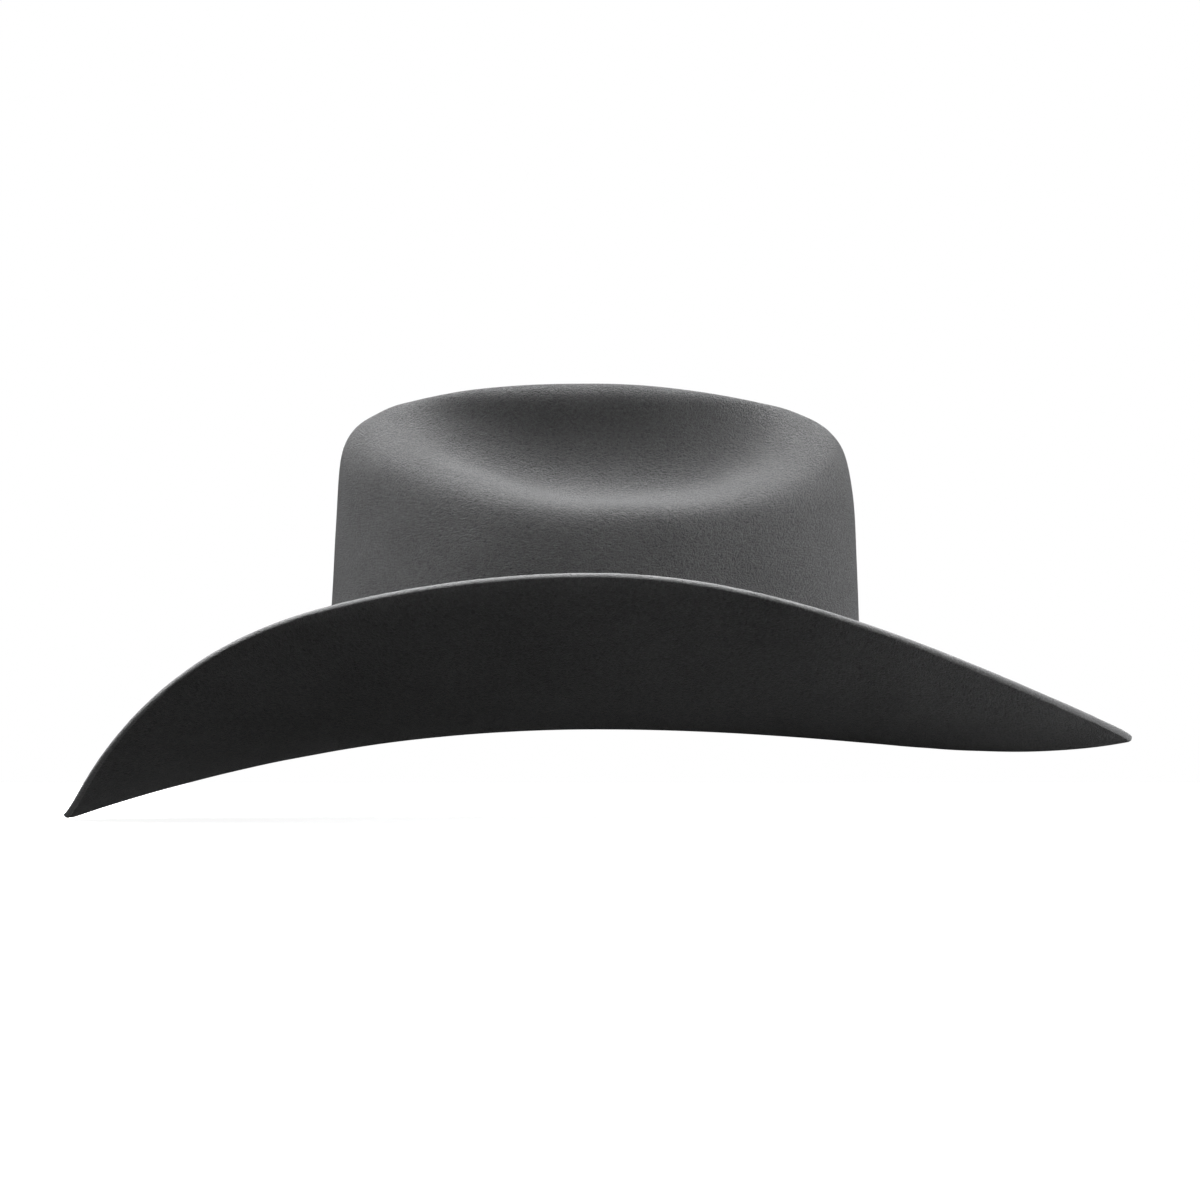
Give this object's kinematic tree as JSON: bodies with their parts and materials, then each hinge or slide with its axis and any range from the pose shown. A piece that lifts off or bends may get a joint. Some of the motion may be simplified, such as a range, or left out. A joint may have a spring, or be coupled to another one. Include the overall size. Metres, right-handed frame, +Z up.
{
  "type": "cowboy hat",
  "caption": "Grey felt western hat with a creased, side-dented crown, upturned brim, felt band with buckle set, leather sweatband and satin lining.",
  "frame": {"origin": "middle of the head opening, level with the brim break where the crown turns into the brim", "axes": "+Z up through the crown, -Y towards the front of the hat, +X towards the wearer's left"},
  "size_m": [0.324, 0.4126, 0.1664],
  "materials": {
    "felt": "brushed fur felt, matt, fine mottled grain",
    "buckle_metal": "polished silver-coloured plate",
    "leather": "smooth dark sweatband leather",
    "reed": "flexible plastic reed",
    "satin": "silver grey satin",
    "ribbon": "black grosgrain",
    "thread": "waxed thread",
    "label_cloth": "blank woven label",
    "patch_cloth": "blank woven oval",
    "film": "clear flexible film"
  },
  "bodies": {
    "hat": {"felt_crown": "felt", "felt_brim": "felt", "hatband": "felt", "fold_stitches": "thread", "band_tacks": "thread", "band_tip": "buckle_metal", "sweatband": "leather", "sweatband_reed": "reed", "reed_tape": "ribbon", "attaching_stitches": "thread", "leather_stitches": "thread", "seam_stitches": "thread", "bow_loops": "ribbon", "bow_knot": "ribbon", "bow_tails": "ribbon", "size_tag": "label_cloth", "lining_side": "satin", "lining_top_panel": "satin", "lining_gimp": "ribbon", "lining_patch": "patch_cloth", "patch_film": "film"},
    "buckle": {"buckle_frame": "buckle_metal", "buckle_bar": "buckle_metal"},
    "tongue": {"buckle_tongue": "buckle_metal"},
    "keeper_loop": {"keeper": "buckle_metal"}
  },
  "joints": [
    {"name": "buckle_swing", "type": "hinge", "parent": "hat", "child": "buckle", "pos_m": [0.08717, 0.01014, 0.01794], "axis": [-0.045, -0.0016, 0.999], "range_deg": [0, 25]},
    {"name": "tongue_lift", "type": "hinge", "parent": "buckle", "child": "tongue", "pos_m": [0.08717, 0.01014, 0.01794], "axis": [-0.045, -0.0016, 0.999], "range_deg": [0, 35]},
    {"name": "keeper_slide", "type": "slide", "parent": "hat", "child": "keeper_loop", "axis": [-0.2436, 0.9693, -0.0328], "range_m": [-0.003, 0.003]}
  ]
}
